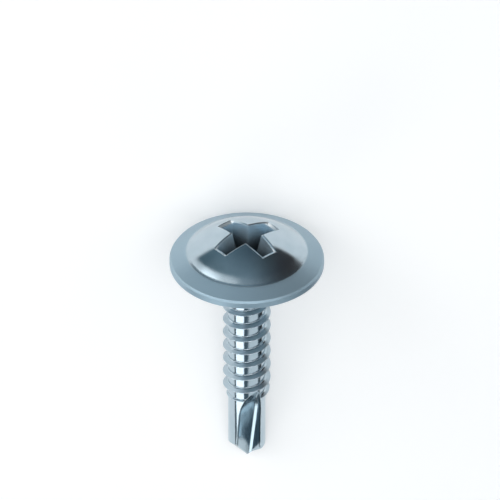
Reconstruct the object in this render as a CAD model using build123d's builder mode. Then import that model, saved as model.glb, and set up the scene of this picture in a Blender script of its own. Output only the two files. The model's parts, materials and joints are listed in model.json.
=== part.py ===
from build123d import *
from math import acos, atan, atan2, cos, degrees, radians, sin, sqrt, tan
import os

os.makedirs("parts", exist_ok=True)

# Self drilling screw with a wide flanged head, a cross recess, a coarse right hand
# thread and a two flute drill point. One piece of zinc plated steel. It is built
# upright on its own axis, bearing face at height 0 and head up, and then laid down
# the way it comes to rest: on the head's rim and on the two corners of one flute.
# All sizes in millimetres and degrees.

# Head
head_diameter = 17.5
rim_thickness = 0.91
rim_top_bevel = 0.16
rim_bottom_bevel = 0.12
flange_slope = 24.0          # rise of the flange from the rim to the dome
dome_diameter = 13.4         # at the dome's foot
dome_rise = 2.5              # from the dome's foot to its top
dome_foot_round = 0.9

# Cross recess
recess_azimuth = -5.0        # the cross is turned a little from the flutes
recess_reach = 3.9           # from the axis to a wing's end, at the height of the dome's top
recess_root_width = 2.42     # wing width at its root, same height
recess_end_width = 2.0       # wing width at its end, same height
recess_depth = 3.7
recess_end_slope = 15.5      # of a wing's end wall, off the axis
recess_side_slope = 9.5      # of a wing's side walls, off the axis
recess_floor_angle = 70.0    # half angle of the conical floor
recess_side_break = 0.15     # bevel at the mouth, along a wing
recess_end_break = 0.35      # and across its end

# Shank and thread
core_diameter = 4.28
neck_bevel = 0.78            # under the head, clears the thread's crests
thread_diameter = 5.46
thread_pitch = 1.8
thread_angle = 60.0
thread_sunk = 0.12           # how far the ridge reaches into the core
thread_start = 0.9           # below the bearing face
thread_fade_in = 1.6         # length over which the thread rises to full height
thread_end = 18.45           # below the bearing face, at the drill end
thread_azimuth = 85.0        # where the thread begins there
thread_fade_out = 1.4
thread_squeeze = 0.5         # share by which the pitch shrinks towards the drill end
thread_squeeze_turns = 2.0

# Drill point
length = 26.7                # from the bearing face to the tip
lip_angle = 50.5             # of a cutting lip, off the axis
heel_angle = 39.5            # of the flank at the land's heel, off the axis
flute_azimuth = 2.0          # of the front flute's middle
flute_tip_out = 0.10         # the flute's deepest line at the tip, out from the axis
flute_tip_across = 0.20      # and across it
flute_tip_heel = 40.0        # azimuth of its heel edge there, from the flute's middle
flute_tip_lip = 48.0         # azimuth of its cutting edge there, on the other side
flute_top_out = 0.42         # the deepest line where the run out starts, out from the axis
flute_top_heel = 29.0
flute_top_lip = 46.0
flute_drift = 5.6            # lean of the flute across the axis, right handed
flute_bar_out = 0.14         # narrow facet beside the root
flute_bar_across = 0.30
flute_bulge = 0.10           # hollow of the heel side wall
flute_straight = 6.2         # from the tip to where the flute starts to run out
flute_runout = 6.4           # radius of the run out
flute_runout_arc = 50.0
lip_facet = 0.42             # height of the facet along the cutting lip
lip_facet_depth = 0.12
cut_past = 0.8               # how far the cutting shapes reach past the solid

# Sizes that follow from the ones above
head_radius = head_diameter / 2
dome_radius = dome_diameter / 2
core_radius = core_diameter / 2
crest_radius = thread_diameter / 2
foot_height = rim_thickness + (head_radius - dome_radius) * tan(radians(flange_slope))
head_height = foot_height + dome_rise
dome_sphere = (dome_radius ** 2 + dome_rise ** 2) / (2 * dome_rise)
shoulder = core_radius / tan(radians((lip_angle + heel_angle) / 2))
up = Vector(0, 0, 1)


def around(azimuth, radius=1.0, height=0.0):
    """A point at this azimuth about the screw's axis."""
    turn = radians(azimuth)
    return Vector(radius * cos(turn), radius * sin(turn), height)


def from_axis(point):
    """How far a point is from the screw's axis."""
    return sqrt(point.X ** 2 + point.Y ** 2)


# Thread ridge: a V swept up a right hand helix. Its path dives into the core at both
# ends, so that the thread rises out of the shank and runs out again.
ridge = crest_radius - core_radius + thread_sunk
root_half = ridge * tan(radians(thread_angle / 2))
squeezed = thread_squeeze * thread_squeeze_turns / 2
turns = (thread_end - thread_start) / thread_pitch + squeezed
points_per_turn = 8
steps = int(points_per_turn * turns)


def thread_point(share):
    """A point on the thread's path, at this share of its turns."""
    slow = min(share * turns / thread_squeeze_turns, 1)
    rise = thread_pitch * (share * turns - squeezed * slow * (2 - slow))
    height = -thread_end + rise
    fade = min(rise / thread_fade_out, (-thread_start - height) / thread_fade_in, 1)
    radius = core_radius - thread_sunk - (1 - fade) * (ridge - thread_sunk / 2)
    return around(thread_azimuth + 360 * turns * share, radius, height)


with BuildPart() as thread:
    with BuildLine() as helix:
        Spline(*[thread_point(step / steps) for step in range(steps + 1)])
    start = Plane(origin=helix.line @ 0, x_dir=around(thread_azimuth), z_dir=helix.line % 0)
    with BuildSketch(start):
        with BuildLine():
            Polyline(
                (0, -root_half),
                (ridge, 0),
                (0, root_half),
                close=True,
            )
        make_face()
    sweep(path=helix.line, is_frenet=True)


def cross(depth):
    """One quarter of the recess outline, this far below the dome's top."""
    root = recess_root_width / 2
    lean = (root - recess_end_width / 2) / (recess_reach - root)
    inset = depth * tan(radians(recess_side_slope)) * sqrt(1 + lean ** 2)
    corner = root - inset / (1 + lean)
    reach = recess_reach - depth * tan(radians(recess_end_slope))
    end = root - (reach - root) * lean - inset
    return corner, reach, end


def cross_corners(depth):
    """All corners of the recess outline, wings at 45 degrees to the front."""
    corner, reach, end = cross(depth)
    corners = []
    for wing in (45, 135, 225, 315):
        middle = around(wing + recess_azimuth)
        side = around(wing + recess_azimuth + 90)
        for along, aside in ((corner, -corner), (reach, -end), (reach, end)):
            corners.append(middle * along + side * aside + up * (head_height - depth))
    return corners


# Recess: a tapering cross with flat walls and a conical floor
floor_radius = 1.3 * cross(recess_depth)[0]
floor_height = head_height - recess_depth
floor_overlap = 0.1
upper = cross_corners(-cut_past)
lower = cross_corners(recess_depth)
outlines = [upper, lower]
for step in range(len(upper)):
    outlines.append([upper[step - 1], upper[step], lower[step], lower[step - 1]])
with BuildPart() as recess:
    add(Solid(Shell([Face(Wire.make_polygon(outline)) for outline in outlines])))
    with BuildSketch(Plane.XZ):
        with BuildLine():
            Polyline(
                (0, floor_height + floor_overlap),
                (floor_radius, floor_height + floor_overlap),
                (floor_radius, floor_height),
                (0, floor_height - floor_radius / tan(radians(recess_floor_angle))),
                close=True,
            )
        make_face()
    revolve(axis=Axis.Z)

# Flute: a V with a narrow facet beside its root. It is drawn at the tip and where the
# run out starts, and runs out through the surface round a milling cutter's radius.
out = around(flute_azimuth)
across = around(flute_azimuth + 90)
tip_point = up * -length
drift = radians(flute_drift)
lean = up * cos(drift) + across * sin(drift)
root_line = tip_point + out * flute_tip_out + across * flute_tip_across
far = 2 * core_radius


def on_core(azimuth, centre_across):
    """Where the flute's edge meets the core, from the flute's root line."""
    turn = radians(azimuth)
    return (
        core_radius * cos(turn) - flute_tip_out,
        core_radius * sin(turn) - centre_across,
    )


def flute_section(root_out, centre_across, heel_azimuth, lip_azimuth):
    """The flute's outline, out from the axis and across it."""
    heel = on_core(-heel_azimuth, centre_across)
    lip = on_core(lip_azimuth, centre_across)
    bar = (root_out + flute_bar_out, flute_bar_across)
    heel_run = (heel[0] - root_out, heel[1])
    heel_length = sqrt(heel_run[0] ** 2 + heel_run[1] ** 2)
    heel_mid = (
        root_out + heel_run[0] / 2 + flute_bulge * heel_run[1] / heel_length,
        heel_run[1] / 2 - flute_bulge * heel_run[0] / heel_length,
    )
    heel_far = (root_out + far, heel_run[1] * far / heel_run[0])
    lip_slope = (lip[1] - bar[1]) / (lip[0] - bar[0])
    lip_far = (root_out + far, bar[1] + (root_out + far - bar[0]) * lip_slope)
    ThreePointArc((root_out, 0), heel_mid, heel)
    Polyline(heel, heel_far, lip_far, bar, (root_out, 0))


top_plane = Plane(origin=root_line + lean * flute_straight, x_dir=out, z_dir=lean)
top_across = flute_tip_across + flute_straight * sin(drift)
top_out = flute_top_out - flute_tip_out
with BuildPart() as flute:
    with BuildSketch(Plane(origin=root_line - lean * cut_past, x_dir=out, z_dir=lean)):
        with BuildLine():
            flute_section(0, flute_tip_across, flute_tip_heel, flute_tip_lip)
        make_face()
    with BuildSketch(top_plane):
        with BuildLine():
            flute_section(top_out, top_across, flute_top_heel, flute_top_lip)
        make_face()
    loft(ruled=True)
    with BuildSketch(top_plane) as top_section:
        with BuildLine():
            flute_section(top_out, top_across, flute_top_heel, flute_top_lip)
        make_face()
    cutter_centre = top_plane.from_local_coords(Vector(top_out + flute_runout, 0, 0))
    revolve(axis=Axis(cutter_centre, top_plane.y_dir), revolution_arc=flute_runout_arc)

# Flank behind each lip: a cone about a leaning axis, so that it falls away to the heel
share = (cut_past + shoulder) / (cut_past + flute_straight)
lip_azimuth = flute_tip_lip + (flute_top_lip - flute_tip_lip) * share
heel_azimuth = flute_tip_heel + (flute_top_heel - flute_tip_heel) * share
cone_lean = (lip_angle - heel_angle) / (cos(radians(lip_azimuth)) + cos(radians(heel_azimuth)))
cone_half = lip_angle - cone_lean * cos(radians(lip_azimuth))
cone_axis = up * cos(radians(cone_lean)) + out * sin(radians(cone_lean))
cone_side = out * cos(radians(cone_lean)) - up * sin(radians(cone_lean))
cone_height = 3 * core_radius
with BuildPart() as flank:
    with BuildSketch(Plane(origin=tip_point - up * cut_past, x_dir=out, z_dir=up)):
        Rectangle(4 * core_radius, 2 * core_radius, align=(Align.CENTER, Align.MIN))
    extrude(amount=cut_past + 1.6 * shoulder)
    with BuildSketch(Plane(origin=tip_point, x_dir=cone_side, z_dir=-across)):
        with BuildLine():
            Polyline(
                (0, 0),
                (cone_height * tan(radians(cone_half)), cone_height),
                (0, cone_height),
                close=True,
            )
        make_face()
    revolve(axis=Axis(tip_point, cone_axis), mode=Mode.SUBTRACT)

# The screw itself: the threaded core first, then head and neck turned onto it. The seam
# of the turned faces goes through the middle of one wing of the recess.
seam_plane = Plane(
    origin=(0, 0, 0),
    x_dir=around(45 + recess_azimuth),
    z_dir=around(recess_azimuth - 45),
)
with BuildPart() as screw:
    with BuildSketch(Plane.XZ):
        Rectangle(core_radius, length, align=(Align.MIN, Align.MAX))
    revolve(axis=Axis.Z)
    add(thread.part)
    with BuildSketch(seam_plane) as profile:
        with BuildLine():
            Polyline(
                (0, head_height),
                (0, -2 * neck_bevel),
                (core_radius, -2 * neck_bevel),
                (core_radius, -neck_bevel),
                (core_radius + neck_bevel, 0),
                (head_radius, 0),
                (head_radius, rim_thickness),
                (dome_radius, foot_height),
            )
            RadiusArc((dome_radius, foot_height), (0, head_height), -dome_sphere)
        make_face()
        rim_top = profile.vertices().sort_by_distance((head_radius, rim_thickness))[0]
        chamfer(rim_top, length=rim_top_bevel)
        rim_bottom = profile.vertices().sort_by_distance((head_radius, 0))[0]
        chamfer(rim_bottom, length=rim_bottom_bevel)
        dome_foot = profile.vertices().sort_by_distance((dome_radius, foot_height))[0]
        fillet(dome_foot, radius=dome_foot_round)
    revolve(axis=Axis.Z)
    add(recess.part, mode=Mode.SUBTRACT)
    dome_centre = up * (head_height - dome_sphere)
    mouth = screw.edges().filter_by(
        lambda e: abs((e @ 0.5 - dome_centre).length - dome_sphere) < 0.001
        and from_axis(e @ 0.5) < recess_reach
    )
    wing_ends = mouth.filter_by(lambda e: from_axis(e @ 0.5) > 0.88 * recess_reach)
    side_middles = [edge @ 0.5 for edge in mouth if edge not in wing_ends]
    chamfer(wing_ends, length=recess_end_break)
    wing_sides = [screw.edges().sort_by_distance(middle)[0] for middle in side_middles]
    chamfer(wing_sides, length=recess_side_break)
    add(flute.part, mode=Mode.SUBTRACT)
    add(flute.part.rotate(Axis.Z, 180), mode=Mode.SUBTRACT)
    add(flank.part, mode=Mode.SUBTRACT)
    add(flank.part.rotate(Axis.Z, 180), mode=Mode.SUBTRACT)

# Facet along each cutting lip, from the corner beside the web out to the land
lip_height = -length + core_radius / tan(radians(lip_angle))
lip_guess = around(flute_azimuth + lip_azimuth, core_radius, lip_height)
foot_guess = root_line + out * flute_bar_out + across * flute_bar_across
foot_guess += up * from_axis(foot_guess) / tan(radians(lip_angle))
lip_corner = screw.vertices().sort_by_distance(lip_guess)[0].center()
lip_foot = screw.vertices().sort_by_distance(foot_guess)[0].center()
with BuildPart() as facet:
    with BuildSketch(Plane(origin=lip_foot, x_dir=-out, z_dir=across)):
        with BuildLine():
            Polyline(
                (-lip_facet_depth, lip_facet),
                (0, lip_facet),
                (lip_facet_depth, 0),
                (lip_facet_depth, -lip_facet),
                (-lip_facet_depth, -lip_facet),
                close=True,
            )
        make_face()
    extrude(amount=1.3 * core_radius, dir=(lip_corner - lip_foot).normalized())
with BuildPart() as pointed:
    add(screw.part)
    add(facet.part, mode=Mode.SUBTRACT)
    add(facet.part.rotate(Axis.Z, 180), mode=Mode.SUBTRACT)

# Resting pose. The floor touches the rim, above its lower bevel, and one corner on each
# side of the rear flute. The azimuth that turns down and the tilt of the axis follow from these,
# found again for each better pose until the same corners are the lowest ones.
corners = [vertex.center() for vertex in pointed.vertices()]
point_corners = [corner for corner in corners if corner.Z < -length + 2 * core_radius]
side = flute_azimuth + 180
tilt = atan(head_radius / length)
settling_rounds = 12
for _ in range(settling_rounds):
    down = around(side)
    floor_normal = up * sin(tilt) - down * cos(tilt)
    left, right = (
        min(
            (corner for corner in point_corners if way * corner.dot(around(side + 90)) > 0),
            key=floor_normal.dot,
        )
        for way in (1, -1)
    )
    gap = left - right
    gap_width = from_axis(gap)
    side = degrees(atan2(gap.Y, gap.X) - acos(tan(tilt) * gap.Z / gap_width))
    reach_down = around(side).dot(Vector(left.X, left.Y, 0))
    tilt = atan((head_radius - reach_down) / (rim_bottom_bevel - left.Z))
down = around(side)
floor_normal = up * sin(tilt) - down * cos(tilt)
toward_head = up * cos(tilt) + down * sin(tilt)
resting = Plane(origin=(0, 0, 0), x_dir=toward_head, z_dir=floor_normal)
laid = resting.to_local_coords(pointed.part)
box = laid.bounding_box()
middle = box.center()
with BuildPart() as drilling_screw:
    add(laid.moved(Location((-middle.X, -middle.Y, -box.min.Z))))
drilling_screw.part.label = "drilling_screw"
export_step(drilling_screw.part, "parts/drilling_screw.step")
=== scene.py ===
import bpy
import json
from collections import namedtuple
from math import atan2, cos, pi, radians, sin, tan
from mathutils import Matrix, Vector

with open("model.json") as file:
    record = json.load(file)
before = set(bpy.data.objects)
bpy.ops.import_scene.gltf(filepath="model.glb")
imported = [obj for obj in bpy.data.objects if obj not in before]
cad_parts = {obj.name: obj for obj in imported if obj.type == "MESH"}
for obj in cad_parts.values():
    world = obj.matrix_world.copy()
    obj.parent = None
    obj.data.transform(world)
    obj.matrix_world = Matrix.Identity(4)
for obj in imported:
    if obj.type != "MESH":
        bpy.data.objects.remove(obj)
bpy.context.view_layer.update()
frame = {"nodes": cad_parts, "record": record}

MM = 0.001

# How the screw lies, from its mount under the head: the middle of the bearing face, the
# axis toward the head and how steeply it rises. This azimuth about the axis, counted from
# the side that faces the camera, is turned down to the floor.
mounts = {mount["name"]: mount for mount in frame["record"]["mounts"]}
seat = Vector(mounts["under_head_seat"]["pos_m"])
axis = -Vector(mounts["under_head_seat"]["axis"])
tilt = atan2(axis.z, axis.x)
down_azimuth = radians(-176.925)
down = Vector((sin(tilt), 0, -cos(tilt)))
front = Matrix.Rotation(-down_azimuth, 3, axis) @ down

# Sizes of the screw. The dome is part of a sphere, whose centre lies on the axis at this
# height from the bearing face.
head_diameter = 17.5 * MM
rim_thickness = 0.91 * MM
rim_radius = head_diameter / 2
flange_slope = radians(24)
dome_radius = 6.7 * MM
dome_rise = 2.5 * MM
core_radius = 2.14 * MM
dome_foot = rim_thickness + (rim_radius - dome_radius) * tan(flange_slope)
dome_sphere = (dome_radius ** 2 + dome_rise ** 2) / (2 * dome_rise)
dome_centre = dome_foot + dome_rise - dome_sphere

# Where each finish, painted highlight and painted shade begins or ends, and how softly. Those
# called from and within are distances from the axis, those called above and below are heights
# from the bearing face.
flange_from = 6.9 * MM
foot_from = 5.95 * MM
wing_end_from = 3.52 * MM
recess_within = 4.35 * MM
underside_from = 3.0 * MM
head_above = 0.5 * MM
# Heights between which the recess walls go from their painted lighter top to painted shade
recess_clear_above = 3.2 * MM
recess_dark_below = 0.9 * MM
thread_below = -0.4 * MM
flutes_below = -17.3 * MM
lips_below = -24.8 * MM
underside_skin = 0.06 * MM      # height that the bearing face's finish reaches
thread_rise = 0.15 * MM         # height over the core at which the thread's finish begins
recess_skin = 0.07 * MM         # depth under the dome at which the recess's finish begins
mouth_depth = 0.32 * MM         # depth of the bevels at its wings' ends
# The dark band below the flutes' edges is a painted dark reflection
brink_depth = 0.32 * MM         # depth of the dark band in the flutes, below their edges
sharp = 0.08 * MM
soft = 0.2 * MM
softer = 0.3 * MM
softest = 0.7 * MM

# Camera: its height over the screw's own level, and where the photograph shows the head
camera_elevation = radians(35.8)
image_size = 500
head_pixels = 154.8
rim_pixel = (246.8, 257.3)
lens = 1500
sensor = 36

# Finish of each area of the plate: its shade, its roughness where the plate is clear and
# where it is dull, and how metallic it looks. No shade means the one beneath it.
Finish = namedtuple("Finish", "shade clear dull metallic")
satin_shade = (0.345, 0.47, 0.55)
finishes = {
    "dome_foot": Finish(None, 0.22, 0.22, 1.0),
    "thread": Finish(None, 0.26, 0.34, 1.0),
    "flange": Finish(satin_shade, 0.36, 0.44, 0.6),
    "rim": Finish(satin_shade, 0.48, 0.48, 0.75),
    # The flutes are painted a darker shade, a painted shade in the grooves
    "flutes": Finish((0.41, 0.51, 0.57), 0.15, 0.21, 1.0),
    # The recess walls are painted a lighter shade, a painted light
    "recess": Finish((0.55, 0.68, 0.76), 0.16, 0.24, 0.75),
}
plate = Finish((0.43, 0.53, 0.59), 0.09, 0.15, 1.0)
blotch_shade = (0.49, 0.58, 0.64)
# Painted shade that darkens the recess towards its floor
recess_depth_shade = (0.13, 0.155, 0.175)
# Painted dark reflection in the flutes, just below their edges
brink_reflection_shade = (0.12, 0.17, 0.20)
# Painted highlight: a near white base colour on the bevels at the recess wings' ends, standing in
# for glints
wing_end_glint_shade = (0.92, 0.96, 0.98)
# Painted highlight: a lighter base colour on the rounded edges
edge_highlight_shade = (0.78, 0.86, 0.90)
edge_roughness = 0.2
edge_width = 0.08 * MM
edge_samples = 6
edge_likeness = (0.99, 0.93)    # of the true normal and the rounded one: open face, edge
blotch_scale = 420
blotch_detail = 4
blotch_harshness = 0.55
blotch_range = (0.3, 0.7)
grain_scale = 5200
grain_detail = 3
grain_strength = 0.05
grain_height = 0.01 * MM
smooth_below = 28               # degrees between faces that are shaded together

# Floor, surround and lamps. The lift is light on the floor that only the camera and mirror
# reflections see, over what the lamps give.
white = (1, 1, 1)
floor_shade = (0.87, 0.86, 0.85)
floor_radius = 1.2
floor_sides = 96
floor_lift = 0.25
surround_shade = (0.10, 0.14, 0.17)
lamp_distance = 0.4

# Dark card beyond the head: where it stands, and its shades from right to left, low down
# and high up
card_steps = 40
flag_middle = Vector((9, -5, 0)) * MM
flag_radius = 30.5 * MM
flag_end = (-68, 60)
flag_fall_from = 12
flag_fall_power = 0.75
flag_height = 42 * MM
flag_foot = 3 * MM
flag_low = (
    (0.05, (0.037, 0.028, 0.025)),
    (0.30, (0.050, 0.052, 0.058)),
    (0.42, (0.065, 0.082, 0.090)),
    (0.58, (0.085, 0.125, 0.155)),
    (0.80, (0.165, 0.240, 0.285)),
    (0.97, (0.090, 0.150, 0.180)),
)
flag_high = (
    (0.20, (0.04, 0.04, 0.045)),
    (0.40, (0.11, 0.15, 0.18)),
    (0.60, (0.25, 0.33, 0.38)),
)
flag_rise = (6 * MM, 44 * MM)    # heights of the low shades and of the high ones
flag_edge_up = (0.72, 1.0)       # shares of its height over which its top edge fades
flag_edge_along = (0.68, 0.80)   # shares of its length from which it does so
flag_edge_shade = (1.6, 1.6, 1.6)

# Low dark wall beyond the point, and dark card on the floor on the right
horizon_middle = Vector((0, 0, 0))
horizon_radius = 75 * MM
horizon_end = (95, 265)
horizon_height = 11 * MM
horizon_shade = (0.06, 0.09, 0.11)
side_card_corners = ((-14, -18, 0.2), (0, -18, 0.2), (-4, -60, 0.2), (-50, -60, 0.2))
side_card_shade = (0.03, 0.03, 0.035)


def make_camera():
    """A very long lens, square to the photograph's view of the upright screw."""
    toward = cos(camera_elevation) * front + sin(camera_elevation) * axis
    upward = (axis - axis.dot(toward) * toward).normalized()
    rightward = upward.cross(toward)
    pixel = head_diameter / head_pixels
    half = image_size / 2
    rim = seat + axis * rim_thickness
    centre = rim + rightward * (half - rim_pixel[0]) * pixel
    centre -= upward * (half - rim_pixel[1]) * pixel
    distance = half * pixel * lens / (sensor / 2)
    data = bpy.data.cameras.new("camera")
    data.lens = lens
    data.sensor_width = sensor
    data.clip_start = distance / 10
    data.clip_end = distance * 10
    camera = bpy.data.objects.new("camera", data)
    bpy.context.scene.collection.objects.link(camera)
    place = Matrix((rightward, upward, toward)).transposed().to_4x4()
    place.translation = centre + toward * distance
    camera.matrix_world = place
    bpy.context.scene.camera = camera


def new_material(name):
    """An empty node material, and its tree."""
    material = bpy.data.materials.new(name)
    material.use_nodes = True
    tree = material.node_tree
    tree.nodes.remove(tree.nodes["Principled BSDF"])
    return material, tree


def add_node(tree, kind, **values):
    """A shader node, with its sockets set by name."""
    node = tree.nodes.new(kind)
    for name, value in values.items():
        node.inputs[name.replace("_", " ")].default_value = value
    return node


def maths(tree, operation, first, second, kind="ShaderNodeMath"):
    """The node of one operation on two numbers or sockets."""
    node = tree.nodes.new(kind)
    node.operation = operation
    fill(tree, node.inputs[0], first)
    fill(tree, node.inputs[1], second)
    return node


def vector_maths(tree, operation, first, second):
    """The node of one operation on two vectors or sockets."""
    return maths(tree, operation, first, second, kind="ShaderNodeVectorMath")


def times(tree, first, *others):
    """The product of sockets."""
    for other in others:
        first = maths(tree, "MULTIPLY", first, other).outputs["Value"]
    return first


def fill(tree, socket, value):
    """Links the socket to another one, or sets it. A colour needs no alpha."""
    if isinstance(value, bpy.types.NodeSocket):
        tree.links.new(value, socket)
    elif socket.type == "RGBA":
        socket.default_value = (*value, 1)
    else:
        socket.default_value = value


def zone(tree, value, start, end):
    """Rises from 0 to 1 as the value goes from start to end."""
    step = tree.nodes.new("ShaderNodeMapRange")
    step.interpolation_type = "SMOOTHSTEP"
    step.inputs["From Min"].default_value = start
    step.inputs["From Max"].default_value = end
    tree.links.new(value, step.inputs["Value"])
    return step.outputs["Result"]


def near(tree, value, limit, blur):
    """1 below the limit and 0 above it, with a blur of this width."""
    return zone(tree, value, limit + blur / 2, limit - blur / 2)


def beyond(tree, value, limit, blur):
    """1 above the limit and 0 below it, with a blur of this width."""
    return zone(tree, value, limit - blur / 2, limit + blur / 2)


def mix_number(tree, factor, low, high):
    """Low where the factor is 0 and high where it is 1. Both may be numbers or sockets."""
    mix = tree.nodes.new("ShaderNodeMix")
    tree.links.new(factor, mix.inputs["Factor"])
    fill(tree, mix.inputs["A"], low)
    fill(tree, mix.inputs["B"], high)
    return mix.outputs["Result"]


def mix_colour(tree, factor, low, high):
    """Low where the factor is 0 and high where it is 1. Both may be colours or sockets."""
    mix = tree.nodes.new("ShaderNodeMix")
    mix.data_type = "RGBA"
    tree.links.new(factor, mix.inputs["Factor"])
    fill(tree, mix.inputs["A"], low)
    fill(tree, mix.inputs["B"], high)
    return mix.outputs["Result"]


def screw_position(tree):
    """Sockets for the position in the screw's own upright frame, the height along its axis
    from the bearing face and the distance from that axis."""
    coordinates = tree.nodes.new("ShaderNodeTexCoord")
    from_seat = vector_maths(tree, "SUBTRACT", coordinates.outputs["Object"], seat)
    upright = add_node(tree, "ShaderNodeVectorRotate", Axis=(0, 1, 0), Angle=tilt - pi / 2)
    upright.rotation_type = "AXIS_ANGLE"
    tree.links.new(from_seat.outputs["Vector"], upright.inputs["Vector"])
    place = upright.outputs["Vector"]
    parts = tree.nodes.new("ShaderNodeSeparateXYZ")
    tree.links.new(place, parts.inputs["Vector"])
    flat = vector_maths(tree, "MULTIPLY", place, (1, 1, 0))
    radius = vector_maths(tree, "DISTANCE", flat.outputs["Vector"], (0, 0, 0))
    return place, parts.outputs["Z"], radius.outputs["Value"]


def plate_areas(tree, place, height, radius):
    """How far each point belongs to each area that has a finish of its own, a painted highlight
    or a painted shade.
    """
    centre = vector_maths(tree, "DISTANCE", place, (0, 0, dome_centre)).outputs["Value"]
    head = beyond(tree, height, head_above, soft)
    cut = near(tree, centre, dome_sphere - recess_skin, sharp)
    recess = times(tree, cut, head, near(tree, radius, recess_within, sharp))
    mouth = beyond(tree, centre, dome_sphere - mouth_depth, sharp)
    bearing = near(tree, height, underside_skin, sharp)
    underside = times(tree, bearing, beyond(tree, radius, underside_from, soft))
    ridge = beyond(tree, radius, core_radius + thread_rise, sharp)
    groove = near(tree, radius, core_radius - sharp, sharp)
    flutes = times(tree, groove, near(tree, height, flutes_below, softest))
    upper = beyond(tree, radius, core_radius - brink_depth, soft)
    return {
        "dome_foot": times(tree, beyond(tree, radius, foot_from, softest), head),
        "thread": times(tree, ridge, near(tree, height, thread_below, soft)),
        "flange": mix_number(tree, underside, beyond(tree, radius, flange_from, softer), 1.0),
        "rim": beyond(tree, radius, rim_radius - sharp, sharp),
        "flutes": flutes,
        "recess": recess,
        "wing_ends": times(tree, recess, mouth, beyond(tree, radius, wing_end_from, soft)),
        "brink_reflections": times(tree, flutes, upper, beyond(tree, height, lips_below, soft)),
    }


def edge_factor(tree, rounded):
    """1 on sharp edges and 0 on open faces, from the normal of rounded edges."""
    geometry = tree.nodes.new("ShaderNodeNewGeometry")
    likeness = vector_maths(tree, "DOT_PRODUCT", rounded, geometry.outputs["Normal"])
    return zone(tree, likeness.outputs["Value"], *edge_likeness)


def grained_normal(tree, place, rounded):
    """The rounded normal with the fine grain of the plate."""
    grain = add_node(tree, "ShaderNodeTexNoise", Scale=grain_scale, Detail=grain_detail)
    tree.links.new(place, grain.inputs["Vector"])
    bump = add_node(tree, "ShaderNodeBump", Strength=grain_strength, Distance=grain_height)
    tree.links.new(grain.outputs["Fac"], bump.inputs["Height"])
    tree.links.new(rounded, bump.inputs["Normal"])
    return bump.outputs["Normal"]


def zinc_material():
    """Bright zinc plate: faint blotches of tone, a fine grain, and smoother rounded edges painted
    lighter as a highlight. The recess walls are painted lighter, with painted shade that darkens
    with depth, and the bevels at its wings' ends carry a painted highlight. The flutes are
    painted darker, with a painted dark reflection below their edges."""
    material = bpy.data.materials.new("zinc_plate")
    material.use_nodes = True
    tree = material.node_tree
    shader = tree.nodes["Principled BSDF"]
    place, height, radius = screw_position(tree)
    areas = plate_areas(tree, place, height, radius)
    blotch = add_node(tree, "ShaderNodeTexNoise", Scale=blotch_scale, Detail=blotch_detail)
    blotch.inputs["Roughness"].default_value = blotch_harshness
    tree.links.new(place, blotch.inputs["Vector"])
    dullness = blotch.outputs["Fac"]

    shade = mix_colour(tree, zone(tree, dullness, *blotch_range), plate.shade, blotch_shade)
    rough = mix_number(tree, dullness, plate.clear, plate.dull)
    metallic = plate.metallic
    for name, finish in finishes.items():
        area = areas[name]
        if finish.shade:
            shade = mix_colour(tree, area, shade, finish.shade)
        area_rough = mix_number(tree, dullness, finish.clear, finish.dull)
        rough = mix_number(tree, area, rough, area_rough)
        metallic = mix_number(tree, area, metallic, finish.metallic)
    # Painted shade: the recess darkens with its depth
    deep = zone(tree, height, recess_clear_above, recess_dark_below)
    shade = mix_colour(tree, times(tree, areas["recess"], deep), shade, recess_depth_shade)
    # Painted highlight: the bevels at the wings' ends are painted near white
    shade = mix_colour(tree, areas["wing_ends"], shade, wing_end_glint_shade)
    # Painted dark reflection: a dark band in the flutes below their edges
    shade = mix_colour(tree, areas["brink_reflections"], shade, brink_reflection_shade)

    bevel = add_node(tree, "ShaderNodeBevel", Radius=edge_width)
    bevel.samples = edge_samples
    rounded = bevel.outputs["Normal"]
    edge = edge_factor(tree, rounded)
    # The rounded edges are painted lighter, a painted highlight
    fill(tree, shader.inputs["Base Color"], mix_colour(tree, edge, shade, edge_highlight_shade))
    fill(tree, shader.inputs["Roughness"], mix_number(tree, edge, rough, edge_roughness))
    fill(tree, shader.inputs["Metallic"], metallic)
    fill(tree, shader.inputs["Normal"], grained_normal(tree, place, rounded))
    return material


def smooth_by_angle(piece, degrees_apart):
    """Shades faces together unless they meet at a sharper angle than this."""
    tree = bpy.data.node_groups.new("smooth_by_angle", "GeometryNodeTree")
    for way in ("INPUT", "OUTPUT"):
        tree.interface.new_socket("Geometry", in_out=way, socket_type="NodeSocketGeometry")
    link = tree.links.new
    start = tree.nodes.new("NodeGroupInput")
    end = tree.nodes.new("NodeGroupOutput")
    angle = tree.nodes.new("GeometryNodeInputMeshEdgeAngle")
    sharper = tree.nodes.new("FunctionNodeCompare")
    sharper.data_type = "FLOAT"
    sharper.operation = "LESS_THAN"
    sharper.inputs["B"].default_value = radians(degrees_apart)
    faces = tree.nodes.new("GeometryNodeSetShadeSmooth")
    faces.domain = "FACE"
    edges = tree.nodes.new("GeometryNodeSetShadeSmooth")
    edges.domain = "EDGE"
    link(start.outputs["Geometry"], faces.inputs["Geometry"])
    link(faces.outputs["Geometry"], edges.inputs["Geometry"])
    link(angle.outputs["Unsigned Angle"], sharper.inputs["A"])
    link(sharper.outputs["Result"], edges.inputs["Shade Smooth"])
    link(edges.outputs["Geometry"], end.inputs["Geometry"])
    modifier = piece.modifiers.new("smooth_by_angle", "NODES")
    modifier.node_group = tree


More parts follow.
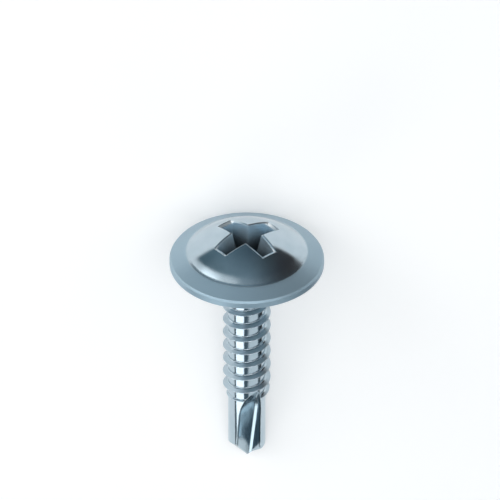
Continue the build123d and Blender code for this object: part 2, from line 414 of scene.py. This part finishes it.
def make_floor():
    """Pale floor. Camera and mirror rays see it lifted to white, with the screw's shadow."""
    bpy.ops.mesh.primitive_circle_add(vertices=floor_sides, radius=floor_radius, fill_type="NGON")
    floor = bpy.context.active_object
    floor.name = "floor"
    material, tree = new_material("floor")
    matt = tree.nodes.new("ShaderNodeBsdfDiffuse")
    fill(tree, matt.inputs["Color"], floor_shade)
    paths = tree.nodes.new("ShaderNodeLightPath")
    looks = (paths.outputs["Is Camera Ray"], paths.outputs["Is Glossy Ray"])
    seen = maths(tree, "MAXIMUM", *looks).outputs["Value"]
    lift = add_node(tree, "ShaderNodeEmission", Color=(*white, 1))
    fill(tree, lift.inputs["Strength"], times(tree, seen, floor_lift))
    both = tree.nodes.new("ShaderNodeAddShader")
    tree.links.new(matt.outputs[0], both.inputs[0])
    tree.links.new(lift.outputs[0], both.inputs[1])
    tree.links.new(both.outputs[0], tree.nodes["Material Output"].inputs["Surface"])
    floor.data.materials.append(material)


def softbox(name, turned, elevation, width, height, brightness, spin=0):
    """A lamp that faces the screw. Turned is counted from +X to +Y; the sizes are angles."""
    data = bpy.data.lights.new(name, "AREA")
    data.shape = "RECTANGLE"
    data.size = 2 * lamp_distance * sin(radians(width / 2))
    data.size_y = 2 * lamp_distance * sin(radians(height / 2))
    data.energy = brightness * pi * data.size * data.size_y
    lamp = bpy.data.objects.new(name, data)
    bpy.context.scene.collection.objects.link(lamp)
    turn, rise = radians(turned), radians(elevation)
    out = Vector((cos(turn) * cos(rise), sin(turn) * cos(rise), sin(rise)))
    facing = out.to_track_quat("Z", "Y").to_matrix() @ Matrix.Rotation(radians(spin), 3, "Z")
    place = facing.to_4x4()
    place.translation = seat + out * lamp_distance
    lamp.matrix_world = place
    lamp.visible_camera = False


def card_material(name):
    """A material that gives off its colour, and the socket of that colour."""
    material, tree = new_material(name)
    card = tree.nodes.new("ShaderNodeEmission")
    tree.links.new(card.outputs[0], tree.nodes["Material Output"].inputs["Surface"])
    return material, card.inputs["Color"]


def shade_ramp(tree, along, shades):
    """The shade at each share of the way along."""
    node = tree.nodes.new("ShaderNodeValToRGB")
    ramp = node.color_ramp
    while len(ramp.elements) < len(shades):
        ramp.elements.new(0.5)
    for element, (position, shade) in zip(ramp.elements, shades):
        element.position = position
        element.color = (*shade, 1)
    tree.links.new(along, node.inputs["Fac"])
    return node.outputs["Color"]


def flag_material():
    """Dark slate on the left, near black on the right, lighter towards the top. Its foot,
    and its falling edge on the left, fade to white."""
    material, colour = card_material("flag")
    tree = material.node_tree
    coordinates = tree.nodes.new("ShaderNodeTexCoord")
    place = tree.nodes.new("ShaderNodeSeparateXYZ")
    tree.links.new(coordinates.outputs["Object"], place.inputs["Vector"])
    layout = tree.nodes.new("ShaderNodeSeparateXYZ")
    tree.links.new(coordinates.outputs["UV"], layout.inputs["Vector"])
    height, along, up = place.outputs["Z"], layout.outputs["X"], layout.outputs["Y"]
    low = shade_ramp(tree, along, flag_low)
    high = shade_ramp(tree, along, flag_high)
    shade = mix_colour(tree, zone(tree, height, *flag_rise), low, high)
    edge = times(tree, zone(tree, up, *flag_edge_up), zone(tree, along, *flag_edge_along))
    shade = mix_colour(tree, edge, shade, flag_edge_shade)
    foot = zone(tree, height, flag_foot, 0)
    fill(tree, colour, mix_colour(tree, foot, shade, white))
    return material


def curved_wall(name, middle, radius, end, height_at):
    """The mesh of an upright wall bent round a middle, between two azimuths."""
    points = []
    for step in range(card_steps + 1):
        turned = end[0] + (end[1] - end[0]) * step / card_steps
        x = middle.x + radius * cos(radians(turned))
        y = middle.y + radius * sin(radians(turned))
        points += [(x, y, 0), (x, y, height_at(turned))]
    faces = [(2 * i, 2 * i + 2, 2 * i + 3, 2 * i + 1) for i in range(card_steps)]
    mesh = bpy.data.meshes.new(name)
    mesh.from_pydata(points, [], faces)
    return mesh


def flag_height_at(turned):
    """Level on the right, then falling off to the left."""
    drop = max(0, turned - flag_fall_from) / (flag_end[1] - flag_fall_from)
    return flag_height * (1 - drop ** 2) ** flag_fall_power


def horizon_height_at(turned):
    """The same all the way round."""
    return horizon_height


def add_reflection_only(name, mesh, material):
    """A piece of the studio that neither the camera nor the floor's light sees."""
    mesh.materials.append(material)
    piece = bpy.data.objects.new(name, mesh)
    bpy.context.scene.collection.objects.link(piece)
    piece.visible_camera = False
    piece.visible_diffuse = False
    piece.visible_shadow = False


def make_flag():
    """A dark upright card beyond the head, bent round it. The bright box behind it shows
    past its falling edge."""
    mesh = curved_wall("flag", flag_middle, flag_radius, flag_end, flag_height_at)
    layout = mesh.uv_layers.new(name="along_and_up")
    for loop in mesh.loops:
        step, top = divmod(loop.vertex_index, 2)
        layout.data[loop.index].uv = (step / card_steps, top)
    add_reflection_only("flag", mesh, flag_material())


def make_horizon():
    """A low dark wall beyond the point draws the dark line between floor and lamps."""
    mesh = curved_wall("horizon", horizon_middle, horizon_radius, horizon_end, horizon_height_at)
    material, colour = card_material("horizon")
    fill(material.node_tree, colour, horizon_shade)
    add_reflection_only("horizon", mesh, material)


def make_side_card():
    """A dark card that lies on the floor on the right, which the head's rim sees."""
    mesh = bpy.data.meshes.new("side_card")
    mesh.from_pydata([Vector(corner) * MM for corner in side_card_corners], [], [(0, 1, 2, 3)])
    material, colour = card_material("side_card")
    fill(material.node_tree, colour, side_card_shade)
    add_reflection_only("side_card", mesh, material)


def make_surround():
    """A dim even surround, which the camera sees as white."""
    world = bpy.data.worlds.new("surround")
    bpy.context.scene.world = world
    world.use_nodes = True
    tree = world.node_tree
    paths = tree.nodes.new("ShaderNodeLightPath")
    tone = mix_colour(tree, paths.outputs["Is Camera Ray"], surround_shade, white)
    tree.links.new(tone, tree.nodes["Background"].inputs["Color"])


def light_studio():
    """Soft boxes round the screw, dark cards beyond its head and a dim even surround."""
    softbox("left_low", turned=142.5, elevation=19.5, width=32, height=33, brightness=1.9)
    softbox("right_low", turned=209.5, elevation=21, width=42, height=36, brightness=0.75)
    softbox("left_side", turned=88, elevation=14, width=40, height=20, brightness=0.7)
    softbox("right_side", turned=280, elevation=14, width=44, height=22, brightness=0.8)
    softbox("left_high", turned=76, elevation=52, width=34, height=30, brightness=1.4)
    softbox("right_high", turned=284, elevation=52, width=34, height=30, brightness=1.0)
    softbox("crescent", turned=50, elevation=14, width=30, height=70, brightness=2.0, spin=-39)
    softbox("rim_line", turned=0, elevation=55, width=100, height=12, brightness=1.4)
    softbox("top", turned=180, elevation=86, width=46, height=46, brightness=2.0)
    make_flag()
    make_horizon()
    make_side_card()
    make_surround()


screw = frame["nodes"]["drilling_screw"]
screw.data.materials.clear()
screw.data.materials.append(zinc_material())
smooth_by_angle(screw, smooth_below)
make_floor()
light_studio()
make_camera()
bpy.context.scene.view_settings.view_transform = "Standard"
